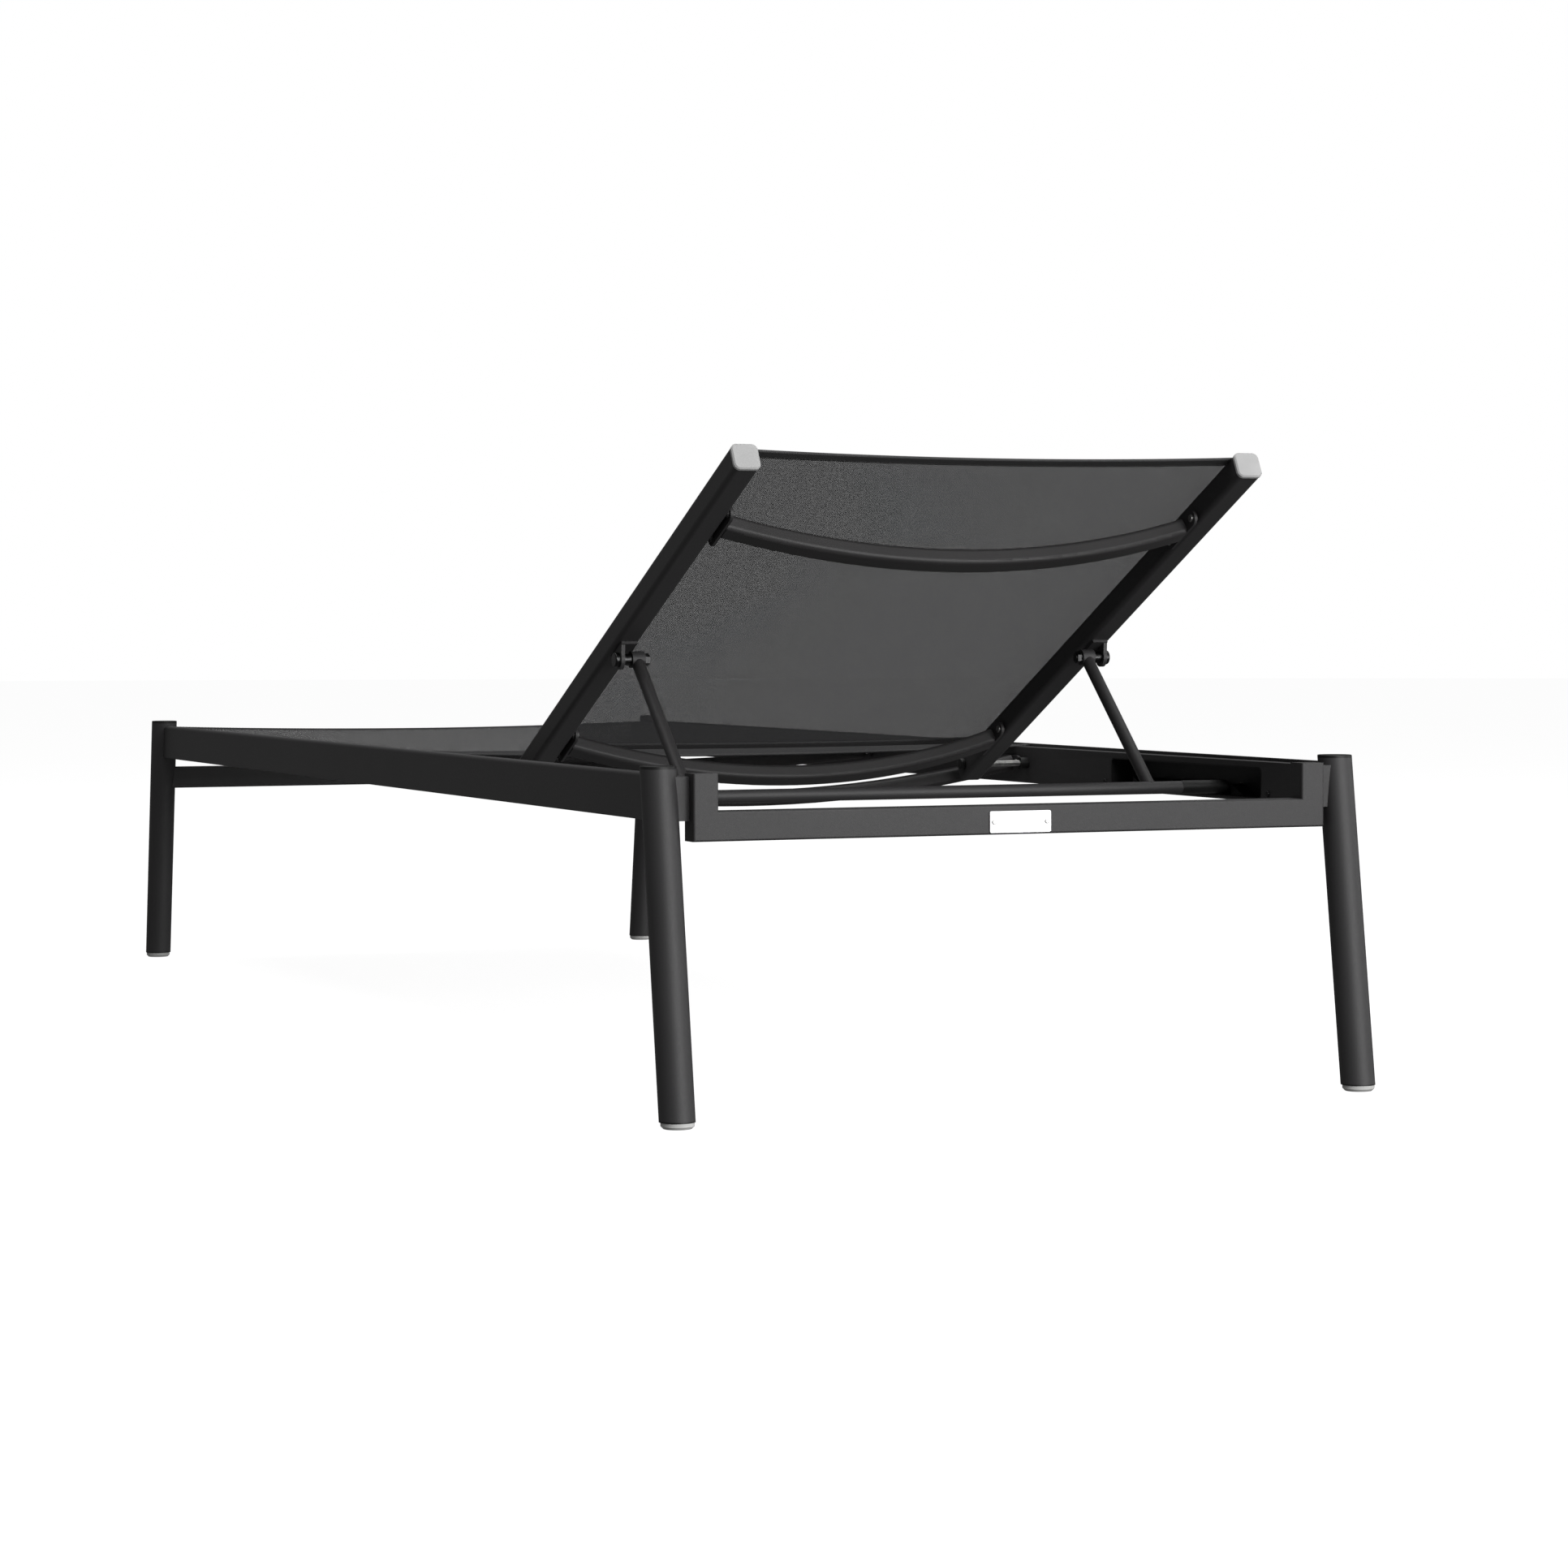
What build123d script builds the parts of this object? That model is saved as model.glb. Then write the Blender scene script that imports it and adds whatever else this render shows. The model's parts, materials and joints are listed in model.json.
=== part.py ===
from build123d import *
import os
from math import atan2, cos, degrees, hypot, radians, sin

# Reclining sun lounger: a powder-coated aluminium frame with slings, an adjustable backrest and its prop.
# Millimetres. X across, Y along the length with the head end at +Y, Z up.
# The origin is on the ground, at the centre of the four feet.

# ---- side rails --------------------------------------------------------------------------------------
RAIL_OUTER = 364.0
RAIL_INNER = 334.0
RAIL_BOTTOM = 279.0
RAIL_TOP = 323.0
RAIL_HALF_LENGTH = 966.0
RAIL_WALL = 2.0
RAIL_SEAT_TOP = 320.0
RAIL_CAVITY_TOP = 314.5
RAIL_EDGE_RADIUS = 3.5
RAIL_CORNER_RADIUS = 1.5

RAIL_END_THICKNESS = 2.5
RAIL_END_DEPTH = 15.0
RAIL_END_FIT = 0.1

# ---- seat sling and the cords that lock it into the rails --------------------------------------------
SEAT_KEDER_X = 352.0
SEAT_KEDER_Z = 317.5
KEDER_RADIUS = 1.6
KEDER_CHANNEL_RADIUS = 1.9
SLING_THICKNESS = 1.2
SLOT_WIDTH = 2.0
SLING_GAP = 0.3
SEAT_FOOT_EDGE = -957.0
SEAT_KEDER_FOOT_END = -936.0
SLING_NOTCH_GAP = 1.5
SEAT_HEAD_EDGE = 292.0

# ---- legs --------------------------------------------------------------------------------------------
LEG_X = 360.0
LEG_TOP_Y = 955.0
LEG_SPLAY = 48.0
LEG_RADIUS = 17.0
LEG_WALL = 2.0
LEG_CAP_THICKNESS = 3.0
LEG_CAP_EDGE = 1.0
LEG_HEIGHT = 330.0
GLIDE_HEIGHT = 6.0
GLIDE_CHAMFER = 2.5
GLIDE_RADIUS = 15.8
GASKET_THICKNESS = 1.2
PLUG_DEPTH = 18.0

# ---- crossbars that tie the two sides together -------------------------------------------------------
HEAD_BAR_FRONT = 979.0
HEAD_BAR_DEPTH = 24.0
HEAD_BAR_BOTTOM = 260.0
HEAD_BAR_TOP = 288.0
HEAD_UPRIGHT_WIDTH = 25.0
FOOT_BAR_BOTTOM = 237.0
FOOT_BAR_TOP = 266.0
FOOT_BAR_DEPTH = 24.0
BAR_WALL = 2.0
BAR_CORNER_RADIUS = 2.0
PLATE_WIDTH = 65.0
PLATE_HEIGHT = 21.0
PLATE_THICKNESS = 1.5
PLATE_CORNER_RADIUS = 2.0
PLATE_CHAMFER = 0.3
PLATE_Z = 272.0
PLATE_RIVET_SPACING = 56.0
PLATE_RIVET_RADIUS = 2.2
PLATE_RIVET_HEIGHT = 0.9
PLATE_RIVET_EDGE = 0.5

# ---- bowed bars under the slings ---------------------------------------------------------------------
BOW_WIDTH = 23.0
BOW_THICKNESS = 17.0
BOW_CORNER_RADIUS = 4.5
BOW_WALL = 2.0
FLANGE_LENGTH = {"seat": 54.0, "back": 64.0}
FLANGE_HEIGHT = 16.0
FLANGE_THICKNESS = 3.0
FLANGE_GAP = 2.0
FLANGE_SCREW_SPACING = {"seat": 40.0, "back": 50.0}
BOSS_RADIUS = 4.0
SCREW_RADIUS = 2.5
SCREW_HEAD_RADIUS = 3.8
SCREW_HEAD_HEIGHT = 2.2
SCREW_HEAD_EDGE = 1.1
# Each bow's place along its sling, the height of its ends and the height of its middle.
SEAT_BOWS = {"foot": (-560.0, 303.0, 286.0), "mid": (-135.0, 303.0, 286.0), "rear": (285.0, 302.0, 266.0)}
BACK_BOWS = {"lower": (84.0, -8.0, -48.5), "upper": (576.0, -8.0, -44.5)}

# ---- backrest, drawn flat: its own Y runs up the backrest and its own Z is its front -----------------
HINGE_Y = 322.0
HINGE_Z = 302.0
RECLINE_AT_REST = 26.8
BACK_RAIL_OUTER = 280.0
BACK_RAIL_SIZE = 26.0
BACK_RAIL_LOW_END = -16.0
BACK_RAIL_HIGH_END = 694.0
BACK_RAIL_RADIUS = 5.0
BACK_RAIL_WALL = 2.0
BACK_SEAT_TOP = 10.5
BACK_CAVITY_TOP = 5.0
BACK_KEDER_X = 269.5
BACK_KEDER_Z = 8.0
BACK_SLING_LOW_EDGE = 34.0
BACK_SLING_HIGH_EDGE = 690.0
CAP_THICKNESS = 4.0
CAP_OVERHANG = 0.5
CAP_CORNER_RADIUS = 6.0
CAP_CHAMFER = 1.3
CAP_PLUG = 14.0
PLUG_FIT = 0.1
END_PLUG_INSET = 0.5

# ---- hinge bolts -------------------------------------------------------------------------------------
HINGE_RADIUS = 3.5
RUNNING_CLEARANCE = 0.05
HINGE_BUSH_RADIUS = 6.5
HINGE_BUSH_LENGTH = 10.0
HINGE_HEAD_RADIUS = 5.0
HINGE_HEAD_HEIGHT = 3.5
HINGE_COVER_RADIUS = 6.3
HINGE_COVER_HEIGHT = 5.2
HINGE_COVER_EDGE = 2.0
HINGE_END_GAP = 0.4
HINGE_NUT_RADIUS = 6.0
HINGE_NUT_LENGTH = 10.0

# ---- prop: two arms and a cross rod that rests in the tracks of the side rails -----------------------
EAR_ALONG = 323.0
EAR_DROP = 25.5
EAR_INNER = 271.0
EAR_THICKNESS = 4.0
EAR_RADIUS = 10.0
EAR_BASE_LENGTH = 34.0
EAR_BASE_THICKNESS = 3.0
EAR_BASE_INSET = 4.0
PROP_BOLT_RADIUS = 4.0
PROP_BOLT_HEAD_RADIUS = 7.5
PROP_BOLT_HEAD_HEIGHT = 5.0
PROP_BOLT_HEAD_EDGE = 1.5
PROP_BOLT_TIP = 1.0
PROP_SPACER_RADIUS = 6.0
PROP_NUT_RADIUS = 6.5
PROP_NUT_LENGTH = 5.0
PROP_SIDE_GAP = 0.3
ROD_Y = 765.0
ROD_Z = 291.5
ROD_RADIUS = 6.5
ROD_BORE = 5.0
ROD_HALF_LENGTH = 291.0
ARM_RADIUS = 6.5
ARM_X = 255.0
ARM_EYE_RADIUS = 8.5
ARM_EYE_WIDTH = 14.0
BUSH_RADIUS = 7.0
BUSH_END = 343.5
BUSH_SPIGOT = 16.0
BUSH_EDGE = 1.0
ARM_END_SETBACK = 2.0

# ---- toothed tracks let into the side rails ----------------------------------------------------------
TRACK_LOW_Y = 528.0
TRACK_HIGH_Y = 856.0
TRACK_BOTTOM = 281.0
TRACK_TOP = 314.5
TRACK_CORNER = 6.0
TRACK_WALL = 1.5
TRACK_BACK = 360.0
TRACK_FIT = 0.1
CORD_CLEARANCE = 0.5
TOOTH_INNER = 345.5
TOOTH_HEIGHT = 12.0
TOOTH_PITCH = 43.0
TOOTH_COUNT = 6
TOOTH_OFFSET = 8.0
TRACK_SCREW_OFFSET = 13.0
TRACK_SCREW_Z = 287.5
LUG_LENGTH = 22.0
LUG_THICKNESS = 4.0
LUG_HEIGHT = 9.0
TRACK_SCREW_RADIUS = 1.6
TRACK_SCREW_HEAD = 3.4
TRACK_SCREW_HEAD_HEIGHT = 1.8
TRACK_SCREW_EDGE = 1.0

# ---- how far a cut runs past the face it opens, and far enough to pass right through -----------------
PAST = 1.0
THROUGH = 20.0

# ---- worked out --------------------------------------------------------------------------------------
BACK_HALF = BACK_RAIL_SIZE / 2
BACK_RAIL_X = BACK_RAIL_OUTER - BACK_HALF
BACK_RAIL_INNER = BACK_RAIL_OUTER - BACK_RAIL_SIZE
TILT = radians(RECLINE_AT_REST)
EAR_Y = HINGE_Y + EAR_ALONG * cos(TILT) + EAR_DROP * sin(TILT)
EAR_Z = HINGE_Z + EAR_ALONG * sin(TILT) - EAR_DROP * cos(TILT)
ARM_LENGTH = hypot(ROD_Y - EAR_Y, EAR_Z - ROD_Z)
ARM_TILT = degrees(atan2(EAR_Z - ROD_Z, ROD_Y - EAR_Y))
BACK_FRAME = Location((0, HINGE_Y, HINGE_Z), (RECLINE_AT_REST, 0, 0))
PROP_FRAME = Location((0, EAR_Y, EAR_Z), (-ARM_TILT, 0, 0))
TRACK_MID_Y = (TRACK_LOW_Y + TRACK_HIGH_Y) / 2
TRACK_MID_Z = (TRACK_BOTTOM + TRACK_TOP) / 2

nodes = {}


def block(x, y, z):
    """A box between the two limits given on each axis."""
    size = [high - low for low, high in (x, y, z)]
    centre = [(low + high) / 2 for low, high in (x, y, z)]
    return Pos(*centre) * Box(*size)


def disc_x(radius, x, y, z):
    """A cylinder along X, between the two limits given for X."""
    low, high = x
    return Pos((low + high) / 2, y, z) * Rot(0, 90, 0) * Cylinder(radius, high - low)


def dome_x(radius, x, y, z, edge):
    """A cylinder along X whose far rim, the one at the second X limit, is rounded."""
    low, high = x
    body = disc_x(radius, (min(x), max(x)), y, z)
    rim = body.edges().filter_by(GeomType.CIRCLE).sort_by(Axis.X)
    return fillet(rim[-1] if high > low else rim[0], edge)


def other_side(shape):
    """The same piece for the right-hand side."""
    return mirror(shape, about=Plane.YZ)


def along_y(section, low, high):
    """Runs a section drawn in X and Z along Y."""
    return Pos(0, high, 0) * extrude(Plane.XZ * section, amount=high - low, dir=(0, -1, 0))


def at_point(x, z, sketch):
    return Pos(x, z) * sketch


def add_pair(name, left, frame=Location()):
    nodes[name + "_left"] = frame * left
    nodes[name + "_right"] = frame * other_side(left)


def add_group(name, solids, frame=Location()):
    nodes[name] = frame * Compound(children=solids)


# ---- legs --------------------------------------------------------------------------------------------
def leg_centre(z):
    """Y of a head-end leg's axis at a height."""
    return LEG_TOP_Y + LEG_SPLAY * (LEG_HEIGHT - z) / LEG_HEIGHT


def leg_rod(radius, low, high):
    """A leaning round bar on the head-left leg's axis, cut level at both ends."""
    lean = degrees(atan2(LEG_SPLAY, LEG_HEIGHT))
    middle = LEG_HEIGHT / 2
    bar = Pos(LEG_X, leg_centre(middle), middle) * Rot(lean, 0, 0) * Cylinder(radius, 2 * LEG_HEIGHT)
    slab = block((0, 2 * LEG_X), (0, 2 * LEG_TOP_Y), (low, high))
    return bar & slab


def leg_tube():
    low = GLIDE_HEIGHT + GASKET_THICKNESS
    high = LEG_HEIGHT - LEG_CAP_THICKNESS
    return leg_rod(LEG_RADIUS, low, high) - leg_rod(LEG_RADIUS - LEG_WALL, low, high)


def leg_cap():
    top = leg_rod(LEG_RADIUS, LEG_HEIGHT - LEG_CAP_THICKNESS, LEG_HEIGHT)
    rim = top.edges().group_by(Axis.Z)[-1]
    plug = leg_rod(LEG_RADIUS - LEG_WALL, LEG_HEIGHT - PLUG_DEPTH, LEG_HEIGHT - LEG_CAP_THICKNESS)
    return fillet(rim, LEG_CAP_EDGE) + plug


def leg_gasket():
    return leg_rod(LEG_RADIUS, GLIDE_HEIGHT, GLIDE_HEIGHT + GASKET_THICKNESS)


def foot_glide():
    foot = Pos(LEG_X, leg_centre(0), GLIDE_HEIGHT / 2) * Cylinder(GLIDE_RADIUS, GLIDE_HEIGHT)
    return chamfer(foot.edges().group_by(Axis.Z)[0], GLIDE_CHAMFER)


def four_corners(head_left):
    """The same piece at all four legs."""
    foot_left = mirror(head_left, about=Plane.XZ)
    return [head_left, other_side(head_left), foot_left, other_side(foot_left)]


def add_legs():
    for piece, head_left in {"leg": leg_tube(), "foot_glide": foot_glide()}.items():
        add_pair(piece + "_head", head_left)
        add_pair(piece + "_foot", mirror(head_left, about=Plane.XZ))
    add_group("leg_caps", four_corners(leg_cap()))
    add_group("leg_gaskets", four_corners(leg_gasket()))


def leg_space():
    """The four legs' full outlines, to be cut from what meets them."""
    left = leg_rod(LEG_RADIUS, 0, LEG_HEIGHT)
    pair = left + other_side(left)
    return pair + mirror(pair, about=Plane.XZ)


# ---- side rails --------------------------------------------------------------------------------------
def rail_section():
    """The left rail: a hollow box whose top has an outer lip and a round channel for the sling's cord."""
    width = RAIL_OUTER - RAIL_INNER
    middle = (RAIL_OUTER + RAIL_INNER) / 2
    height = RAIL_TOP - RAIL_BOTTOM
    outline = at_point(middle, RAIL_BOTTOM + height / 2, Rectangle(width, height))
    top_outer = outline.vertices().sort_by(Axis.X)[-2:].sort_by(Axis.Y)[-1]
    outline = fillet(top_outer, RAIL_EDGE_RADIUS)
    lower = outline.vertices().group_by(Axis.Y)[0]
    outline = fillet(lower, RAIL_CORNER_RADIUS)
    slot_left = SEAT_KEDER_X - SLOT_WIDTH / 2
    step = at_point(
        (RAIL_INNER + slot_left) / 2,
        (RAIL_SEAT_TOP + RAIL_TOP) / 2,
        Rectangle(slot_left - RAIL_INNER, RAIL_TOP - RAIL_SEAT_TOP),
    )
    slot_middle = (SEAT_KEDER_Z + RAIL_TOP) / 2
    slot = at_point(SEAT_KEDER_X, slot_middle, Rectangle(SLOT_WIDTH, RAIL_TOP - SEAT_KEDER_Z))
    channel = at_point(SEAT_KEDER_X, SEAT_KEDER_Z, Circle(KEDER_CHANNEL_RADIUS))
    cavity_bottom = RAIL_BOTTOM + RAIL_WALL
    cavity_height = RAIL_CAVITY_TOP - cavity_bottom
    cavity = at_point(
        middle, cavity_bottom + cavity_height / 2, Rectangle(width - 2 * RAIL_WALL, cavity_height)
    )
    return outline - step - slot - channel - cavity


def track_outline(grow):
    """The upright rounded outline of a track's window, as a sketch in Y and Z."""
    length = TRACK_HIGH_Y - TRACK_LOW_Y + 2 * grow
    height = TRACK_TOP - TRACK_BOTTOM + 2 * grow
    sheet = Plane((0, TRACK_MID_Y, TRACK_MID_Z), x_dir=(0, 1, 0), z_dir=(1, 0, 0))
    return sheet * RectangleRounded(length, height, TRACK_CORNER + grow)


def slab_x(outline, low, high):
    """Runs a sketch drawn in Y and Z along X."""
    return extrude(Pos(low, 0, 0) * outline, amount=high - low, dir=(1, 0, 0))


def side_rail():
    rail = along_y(rail_section(), -RAIL_HALF_LENGTH, RAIL_HALF_LENGTH)
    rail -= leg_space()
    inner_wall = (RAIL_INNER - PAST, RAIL_INNER + RAIL_WALL + PAST)
    rail -= slab_x(track_outline(0), *inner_wall)
    rail -= disc_x(HINGE_RADIUS, inner_wall, HINGE_Y, HINGE_Z)
    for y in track_screw_places():
        rail -= disc_x(TRACK_SCREW_RADIUS, inner_wall, y, TRACK_SCREW_Z)
    for along, end_height, _ in SEAT_BOWS.values():
        for y in flange_screws(along, FLANGE_SCREW_SPACING["seat"]):
            rail -= disc_x(SCREW_RADIUS, inner_wall, y, end_height)
    return rail.solids().sort_by(SortBy.VOLUME)[-1]


def rail_end_cap():
    """The cap that closes the left rail's head end, notched round the leg, with the plug that holds it."""
    width = RAIL_OUTER - RAIL_INNER
    middle = (RAIL_OUTER + RAIL_INNER) / 2
    height = RAIL_SEAT_TOP - RAIL_BOTTOM
    face = at_point(middle, RAIL_BOTTOM + height / 2, RectangleRounded(width, height, RAIL_CORNER_RADIUS))
    cap = along_y(face, RAIL_HALF_LENGTH, RAIL_HALF_LENGTH + RAIL_END_THICKNESS)
    low = RAIL_BOTTOM + RAIL_WALL + RAIL_END_FIT
    high = RAIL_CAVITY_TOP - RAIL_END_FIT
    plug = block(
        (RAIL_INNER + RAIL_WALL + RAIL_END_FIT, RAIL_OUTER - RAIL_WALL - RAIL_END_FIT),
        (RAIL_HALF_LENGTH - RAIL_END_DEPTH, RAIL_HALF_LENGTH),
        (low, high),
    )
    return (cap + plug - leg_space()).solids().sort_by(SortBy.VOLUME)[-1]


# ---- tracks ------------------------------------------------------------------------------------------
def track_screw_places():
    return (TRACK_LOW_Y - TRACK_SCREW_OFFSET, TRACK_HIGH_Y + TRACK_SCREW_OFFSET)


def tooth(y):
    """One ratchet tooth: upright on the foot side and ramped down towards the head end."""
    floor = TRACK_BOTTOM + TRACK_WALL
    ramp = TOOTH_PITCH - 2 * TOOTH_OFFSET
    profile = Plane.YZ * Polygon(
        (y, floor - TRACK_WALL / 2),
        (y + ramp, floor - TRACK_WALL / 2),
        (y + ramp, floor),
        (y, floor + TOOTH_HEIGHT),
        align=None,
    )
    return slab_x(profile, TOOTH_INNER, TRACK_BACK)


def recline_track():
    """A moulded tray that fills the rail's window. Its teeth stand just behind the rod's ends."""
    tray = slab_x(track_outline(-TRACK_FIT), RAIL_INNER, TRACK_BACK + TRACK_WALL)
    inside = slab_x(track_outline(-TRACK_WALL), RAIL_INNER - PAST, TRACK_BACK)
    tray -= inside
    tray -= block(
        (TOOTH_INNER + CORD_CLEARANCE, TRACK_BACK + 2 * TRACK_WALL),
        (TRACK_LOW_Y, TRACK_HIGH_Y),
        (RAIL_CAVITY_TOP - TRACK_FIT, TRACK_TOP + PAST),
    )
    first = ROD_Y + TOOTH_OFFSET
    for i in range(TOOTH_COUNT):
        tray += tooth(first - i * TOOTH_PITCH)
    behind = RAIL_INNER + RAIL_WALL + TRACK_FIT
    for y in track_screw_places():
        side = 1 if y > TRACK_MID_Y else -1
        edge = TRACK_HIGH_Y if side > 0 else TRACK_LOW_Y
        lug = block(
            (behind, behind + LUG_THICKNESS),
            sorted((edge - side * LUG_THICKNESS, edge + side * LUG_LENGTH)),
            (TRACK_SCREW_Z - LUG_HEIGHT / 2, TRACK_SCREW_Z + LUG_HEIGHT / 2),
        )
        tray += lug - inside
        tray -= disc_x(TRACK_SCREW_RADIUS, (behind - PAST, behind + LUG_THICKNESS + PAST), y, TRACK_SCREW_Z)
    return tray


def track_screws():
    """The screws that hold the left track, through the rail's inner wall into its lugs."""
    screws = []
    end = RAIL_INNER + RAIL_WALL + TRACK_FIT + LUG_THICKNESS
    under_head = (RAIL_INNER, RAIL_INNER - TRACK_SCREW_HEAD_HEIGHT)
    for y in track_screw_places():
        head = dome_x(TRACK_SCREW_HEAD, under_head, y, TRACK_SCREW_Z, TRACK_SCREW_EDGE)
        screws.append(head + disc_x(TRACK_SCREW_RADIUS, (RAIL_INNER, end), y, TRACK_SCREW_Z))
    return screws


# ---- head and foot crossbars -------------------------------------------------------------------------
def tube_section(width, height):
    outer = RectangleRounded(width, height, BAR_CORNER_RADIUS)
    return outer - RectangleRounded(width - 2 * BAR_WALL, height - 2 * BAR_WALL, BAR_CORNER_RADIUS / 2)


def head_crossbar():
    """The low bar of the head-end U, mitred to its two uprights."""
    middle_y = HEAD_BAR_FRONT - HEAD_BAR_DEPTH / 2
    middle_z = (HEAD_BAR_BOTTOM + HEAD_BAR_TOP) / 2
    sheet = Plane((-RAIL_INNER, middle_y, middle_z), x_dir=(0, 1, 0), z_dir=(1, 0, 0))
    section = sheet * tube_section(HEAD_BAR_DEPTH, HEAD_BAR_TOP - HEAD_BAR_BOTTOM)
    return extrude(section, amount=2 * RAIL_INNER) - mitre_space(1) - mitre_space(-1)


def mitre_space(side):
    """The corner of the U that belongs to an upright, past the line where bar and upright meet."""
    low_x = RAIL_INNER
    high_x = RAIL_INNER - HEAD_UPRIGHT_WIDTH
    wedge = Plane.XZ * Polygon(
        (side * low_x, HEAD_BAR_BOTTOM),
        (side * high_x, HEAD_BAR_TOP),
        (side * high_x, RAIL_TOP + PAST),
        (side * (low_x + PAST), RAIL_TOP + PAST),
        (side * (low_x + PAST), HEAD_BAR_BOTTOM),
        align=None,
    )
    depth = HEAD_BAR_DEPTH + 2 * PAST
    return Pos(0, HEAD_BAR_FRONT + PAST, 0) * extrude(wedge, amount=depth, dir=(0, -1, 0))


def head_upright():
    """The left arm of the U: a tube with a plate welded over its top."""
    middle_y = HEAD_BAR_FRONT - HEAD_BAR_DEPTH / 2
    middle_x = RAIL_INNER - HEAD_UPRIGHT_WIDTH / 2
    section = Pos(middle_x, middle_y, HEAD_BAR_BOTTOM) * tube_section(HEAD_UPRIGHT_WIDTH, HEAD_BAR_DEPTH)
    post = extrude(section, amount=RAIL_TOP - HEAD_BAR_BOTTOM)
    lid = RectangleRounded(HEAD_UPRIGHT_WIDTH, HEAD_BAR_DEPTH, BAR_CORNER_RADIUS)
    post += extrude(Pos(middle_x, middle_y, RAIL_TOP - BAR_WALL) * lid, amount=BAR_WALL)
    return (post & mitre_space(1)).solids().sort_by(SortBy.VOLUME)[-1]


def foot_crossbar():
    middle_z = (FOOT_BAR_BOTTOM + FOOT_BAR_TOP) / 2
    sheet = Plane((-LEG_X, -leg_centre(middle_z), middle_z), x_dir=(0, 1, 0), z_dir=(1, 0, 0))
    bar = extrude(sheet * tube_section(FOOT_BAR_DEPTH, FOOT_BAR_TOP - FOOT_BAR_BOTTOM), amount=2 * LEG_X)
    return (bar - leg_space()).solids().sort_by(SortBy.VOLUME)[-1]


def name_plate():
    size = RectangleRounded(PLATE_WIDTH, PLATE_HEIGHT, PLATE_CORNER_RADIUS)
    sheet = Plane((0, HEAD_BAR_FRONT, PLATE_Z), x_dir=(-1, 0, 0), z_dir=(0, 1, 0))
    plate = extrude(sheet * size, amount=PLATE_THICKNESS)
    return chamfer(plate.edges().group_by(Axis.Y)[-1], PLATE_CHAMFER)


def plate_rivets():
    rivets = []
    base = HEAD_BAR_FRONT + PLATE_THICKNESS
    for side in (-1, 1):
        rivet = Cylinder(PLATE_RIVET_RADIUS, PLATE_RIVET_HEIGHT)
        place = Pos(side * PLATE_RIVET_SPACING / 2, base + PLATE_RIVET_HEIGHT / 2, PLATE_Z)
        rivet = place * Rot(90, 0, 0) * rivet
        rivets.append(fillet(rivet.edges().group_by(Axis.Y)[-1], PLATE_RIVET_EDGE))
    return rivets


# ---- bowed bars --------------------------------------------------------------------------------------
def bow(half_span, along, end_height, mid_height):
    """A flattened tube bent to an arc across the frame, at a place along it, hanging between its ends."""
    start = (half_span, along, end_height)
    path = ThreePointArc(start, (0, along, mid_height), (-half_span, along, end_height))
    sheet = Plane(start, x_dir=(0, 1, 0), z_dir=path.tangent_at(0))
    tube = sweep(sheet * RectangleRounded(BOW_WIDTH, BOW_THICKNESS, BOW_CORNER_RADIUS), path)
    hollow = RectangleRounded(
        BOW_WIDTH - 2 * BOW_WALL, BOW_THICKNESS - 2 * BOW_WALL, BOW_CORNER_RADIUS - BOW_WALL
    )
    tube -= sweep(sheet * hollow, path)
    reach = (along - BOW_WIDTH, along + BOW_WIDTH)
    return tube & block((-half_span, half_span), reach, (-RAIL_TOP, RAIL_TOP))


def flange_screws(along, spacing):
    return (along - spacing / 2, along + spacing / 2)


def bow_flange(sling_name, face, along, height):
    """The plate on a bow's left end, whose two bosses hold it a small gap off the rail's inner face."""
    outer = face - FLANGE_GAP
    inner = outer - FLANGE_THICKNESS
    sheet = Plane((inner, along, height), x_dir=(0, 1, 0), z_dir=(1, 0, 0))
    plate = extrude(sheet * SlotOverall(FLANGE_LENGTH[sling_name], FLANGE_HEIGHT), amount=FLANGE_THICKNESS)
    for y in flange_screws(along, FLANGE_SCREW_SPACING[sling_name]):
        plate += disc_x(BOSS_RADIUS, (outer, face), y, height)
        plate -= disc_x(SCREW_RADIUS, (inner - PAST, face + PAST), y, height)
    return plate


def bow_screws(sling_name, face, along, height, wall):
    """Two screws with round heads, through the plate and its bosses into the rail's wall."""
    screws = []
    head_base = face - FLANGE_GAP - FLANGE_THICKNESS
    head_top = head_base - SCREW_HEAD_HEIGHT
    for y in flange_screws(along, FLANGE_SCREW_SPACING[sling_name]):
        head = dome_x(SCREW_HEAD_RADIUS, (head_base, head_top), y, height, SCREW_HEAD_EDGE)
        screws.append(head + disc_x(SCREW_RADIUS, (head_base, face + wall), y, height))
    return screws


def both_sides(pieces):
    return pieces + [other_side(piece) for piece in pieces]


def add_bows(sling_name, places, face, wall, frame):
    """Every bow of one sling, with its two end plates and four screws."""
    flanges = []
    screws = []
    half_span = face - FLANGE_GAP - FLANGE_THICKNESS
    for name, (along, end_height, mid_height) in places.items():
        nodes[f"{sling_name}_bow_{name}"] = frame * bow(half_span, along, end_height, mid_height)
        flanges.append(bow_flange(sling_name, face, along, end_height))
        screws += bow_screws(sling_name, face, along, end_height, wall)
    add_group(sling_name + "_bow_flanges", both_sides(flanges), frame)
    add_group(sling_name + "_bow_screws", both_sides(screws), frame)


# ---- slings ------------------------------------------------------------------------------------------
def sling(keder_x, keder_z, surface, low, high):
    """A tight sheet lying on the rails, turned down at each side to the cord in its channel."""
    sheet_bottom = surface + SLING_GAP
    half = keder_x + SLING_THICKNESS / 2
    sheet = block((-half, half), (low, high), (sheet_bottom, sheet_bottom + SLING_THICKNESS))
    for side in (-1, 1):
        edges = sorted((side * half, side * (half - SLING_THICKNESS)))
        sheet += block(edges, (low, high), (keder_z + KEDER_RADIUS, sheet_bottom + SLING_THICKNESS))
    return sheet


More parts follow.
